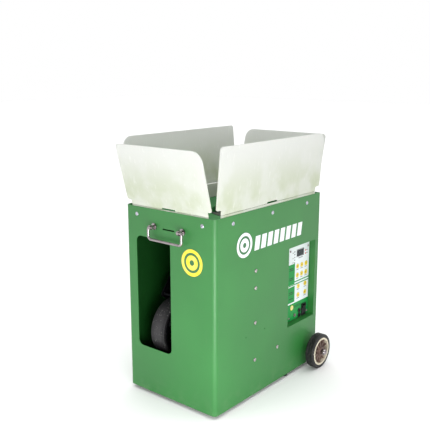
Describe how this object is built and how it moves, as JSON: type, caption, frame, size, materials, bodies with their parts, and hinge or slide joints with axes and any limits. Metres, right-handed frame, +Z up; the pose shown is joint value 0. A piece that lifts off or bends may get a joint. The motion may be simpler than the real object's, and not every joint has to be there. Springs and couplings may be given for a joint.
{
  "type": "tennis ball machine",
  "caption": "Portable ball throwing machine: folded steel case with hopper flaps, feeder, tilting and sweeping two-wheel head, key panel and road wheels.",
  "frame": {"origin": "on the ground under the middle of the case", "axes": "+Z up, -Y out of the front face with the ball outlet, +X out of the side with the control panel"},
  "size_m": [0.4166, 0.5462, 0.683],
  "materials": {
    "green_powder": "satin powder coat",
    "frosted_plastic": "frosted translucent sheet",
    "zinc": "zinc plated",
    "chrome": "polished",
    "steel": "brushed",
    "panel_white": "printed film on plate",
    "key_yellow": "glossy",
    "black_plastic": "fine texture",
    "display_black": "smoked lens",
    "led_red": "clear moulded",
    "board_green": "solder resist",
    "wheel_rubber": "matt",
    "hub_plastic": "moulded",
    "tread_rubber": "matt, worn by felt",
    "motor_black": "satin enamel",
    "aluminium": "turned",
    "tray_green": "moulded",
    "feeder_plastic": "moulded",
    "tube_grey": "extruded",
    "battery_case": "moulded",
    "brass": "cut gear"
  },
  "bodies": {
    "case": {"case_wrap": "green_powder", "rear_panel": "green_powder", "base_plate": "green_powder", "rubber_feet": "wheel_rubber", "rim_rivets": "zinc", "side_rail": "steel", "side_bolts": "zinc", "hinge_strips": "frosted_plastic", "handle_posts": "chrome", "control_tray": "green_powder", "control_panel": "panel_white", "panel_screws": "zinc", "display_window": "display_black", "status_leds": "led_red", "power_jacks": "black_plastic", "sensor_socket": "zinc", "rocker_bezel": "black_plastic", "control_board": "board_green", "wheel_axle": "steel", "axle_bushes": "black_plastic", "cap_nuts": "chrome", "hopper_tray": "tray_green", "carousel_gearmotor": "motor_black", "feed_tube": "tube_grey", "feed_ramp": "tube_grey", "yaw_post": "aluminium", "yaw_gearmotor": "motor_black", "battery": "battery_case"},
    "flap_front": {"flap_front": "frosted_plastic"},
    "flap_rear": {"flap_rear": "frosted_plastic"},
    "flap_right": {"flap_right": "frosted_plastic"},
    "flap_left": {"flap_left": "frosted_plastic"},
    "bail": {"bail_handle": "chrome"},
    "carousel": {"carousel_star": "feeder_plastic"},
    "road_wheel_right": {"road_tyre_right": "wheel_rubber", "road_hub_right": "hub_plastic"},
    "road_wheel_left": {"road_tyre_left": "wheel_rubber", "road_hub_left": "hub_plastic"},
    "head_fork": {"yaw_table": "steel", "head_yoke": "steel", "pitch_gearmotor": "motor_black"},
    "throwing_head": {"pitch_frame": "steel", "throw_motors": "motor_black"},
    "throw_wheel_upper": {"throw_hub_upper": "motor_black", "throw_tyre_upper": "tread_rubber"},
    "throw_wheel_lower": {"throw_hub_lower": "motor_black", "throw_tyre_lower": "tread_rubber"},
    "yaw_pinion": {"yaw_pinion": "brass"},
    "pitch_pinion": {"pitch_pinion": "brass"},
    "rocker": {"rocker_switch": "black_plastic"},
    "key_1": {"key_1": "key_yellow"},
    "key_2": {"key_2": "key_yellow"},
    "key_3": {"key_3": "key_yellow"},
    "key_4": {"key_4": "key_yellow"},
    "key_5": {"key_5": "key_yellow"},
    "key_6": {"key_6": "key_yellow"},
    "key_7": {"key_7": "key_yellow"},
    "key_8": {"key_8": "key_yellow"},
    "key_9": {"key_9": "key_yellow"},
    "key_10": {"key_10": "key_yellow"}
  },
  "joints": [
    {"name": "front_flap_fold", "type": "hinge", "parent": "case", "child": "flap_front", "pos_m": [0, -0.2295, 0.5135], "axis": [-1, 0, 0], "range_deg": [0, 105]},
    {"name": "rear_flap_fold", "type": "hinge", "parent": "case", "child": "flap_rear", "pos_m": [0, 0.2295, 0.5135], "axis": [1, 0, 0], "range_deg": [0, 105]},
    {"name": "right_flap_fold", "type": "hinge", "parent": "case", "child": "flap_right", "pos_m": [0.147, 0, 0.517], "axis": [0, -1, 0], "range_deg": [0, 95]},
    {"name": "left_flap_fold", "type": "hinge", "parent": "case", "child": "flap_left", "pos_m": [-0.147, 0, 0.5205], "axis": [0, 1, 0], "range_deg": [0, 95]},
    {"name": "bail_swing", "type": "hinge", "parent": "case", "child": "bail", "pos_m": [0, -0.2465, 0.466], "axis": [-1, 0, 0], "range_deg": [0, 120]},
    {"name": "carousel_turn", "type": "hinge", "parent": "case", "child": "carousel", "pos_m": [0, 0.106, 0.445], "axis": [0, 0, 1], "continuous": true},
    {"name": "right_wheel_roll", "type": "hinge", "parent": "case", "child": "road_wheel_right", "pos_m": [0.1795, 0.201, 0.05], "axis": [1, 0, 0], "continuous": true},
    {"name": "left_wheel_roll", "type": "hinge", "parent": "case", "child": "road_wheel_left", "pos_m": [-0.1795, 0.201, 0.05], "axis": [1, 0, 0], "continuous": true},
    {"name": "head_sweep", "type": "hinge", "parent": "case", "child": "head_fork", "pos_m": [-0.056, -0.077, 0.0545], "axis": [0, 0, 1], "range_deg": [-8, 8]},
    {"name": "sweep_pinion_turn", "type": "hinge", "parent": "case", "child": "yaw_pinion", "pos_m": [0.02835, -0.077, 0.0545], "axis": [0, 0, 1], "range_deg": [-50, 50]},
    {"name": "head_tilt", "type": "hinge", "parent": "head_fork", "child": "throwing_head", "pos_m": [-0.056, -0.077, 0.253], "axis": [1, 0, 0], "range_deg": [0, 23]},
    {"name": "tilt_pinion_turn", "type": "hinge", "parent": "head_fork", "child": "pitch_pinion", "pos_m": [-0.0985, -0.04852, 0.19641], "axis": [1, 0, 0], "range_deg": [-140, 2]},
    {"name": "upper_wheel_spin", "type": "hinge", "parent": "throwing_head", "child": "throw_wheel_upper", "pos_m": [-0.056, -0.01236, 0.33574], "axis": [1, 0, 0], "continuous": true},
    {"name": "lower_wheel_spin", "type": "hinge", "parent": "throwing_head", "child": "throw_wheel_lower", "pos_m": [-0.056, -0.14164, 0.17026], "axis": [1, 0, 0], "continuous": true},
    {"name": "power_rocker", "type": "hinge", "parent": "case", "child": "rocker", "pos_m": [0.1315, 0.19, 0.17], "axis": [0, -1, 0], "range_deg": [0, 20]},
    {"name": "key_1_press", "type": "slide", "parent": "case", "child": "key_1", "axis": [-1, 0, 0], "range_m": [0, 0.0008], "stiffness_N_per_m": 2000},
    {"name": "key_2_press", "type": "slide", "parent": "case", "child": "key_2", "axis": [-1, 0, 0], "range_m": [0, 0.0008], "stiffness_N_per_m": 2000},
    {"name": "key_3_press", "type": "slide", "parent": "case", "child": "key_3", "axis": [-1, 0, 0], "range_m": [0, 0.0008], "stiffness_N_per_m": 2000},
    {"name": "key_4_press", "type": "slide", "parent": "case", "child": "key_4", "axis": [-1, 0, 0], "range_m": [0, 0.0008], "stiffness_N_per_m": 2000},
    {"name": "key_5_press", "type": "slide", "parent": "case", "child": "key_5", "axis": [-1, 0, 0], "range_m": [0, 0.0008], "stiffness_N_per_m": 2000},
    {"name": "key_6_press", "type": "slide", "parent": "case", "child": "key_6", "axis": [-1, 0, 0], "range_m": [0, 0.0008], "stiffness_N_per_m": 2000},
    {"name": "key_7_press", "type": "slide", "parent": "case", "child": "key_7", "axis": [-1, 0, 0], "range_m": [0, 0.0008], "stiffness_N_per_m": 2000},
    {"name": "key_8_press", "type": "slide", "parent": "case", "child": "key_8", "axis": [-1, 0, 0], "range_m": [0, 0.0008], "stiffness_N_per_m": 2000},
    {"name": "key_9_press", "type": "slide", "parent": "case", "child": "key_9", "axis": [-1, 0, 0], "range_m": [0, 0.0008], "stiffness_N_per_m": 2000},
    {"name": "key_10_press", "type": "slide", "parent": "case", "child": "key_10", "axis": [-1, 0, 0], "range_m": [0, 0.0008], "stiffness_N_per_m": 2000}
  ],
  "couplings": [
    {"joint": "sweep_pinion_turn", "follows": "head_sweep", "ratio": -6},
    {"joint": "tilt_pinion_turn", "follows": "head_tilt", "ratio": -6}
  ]
}
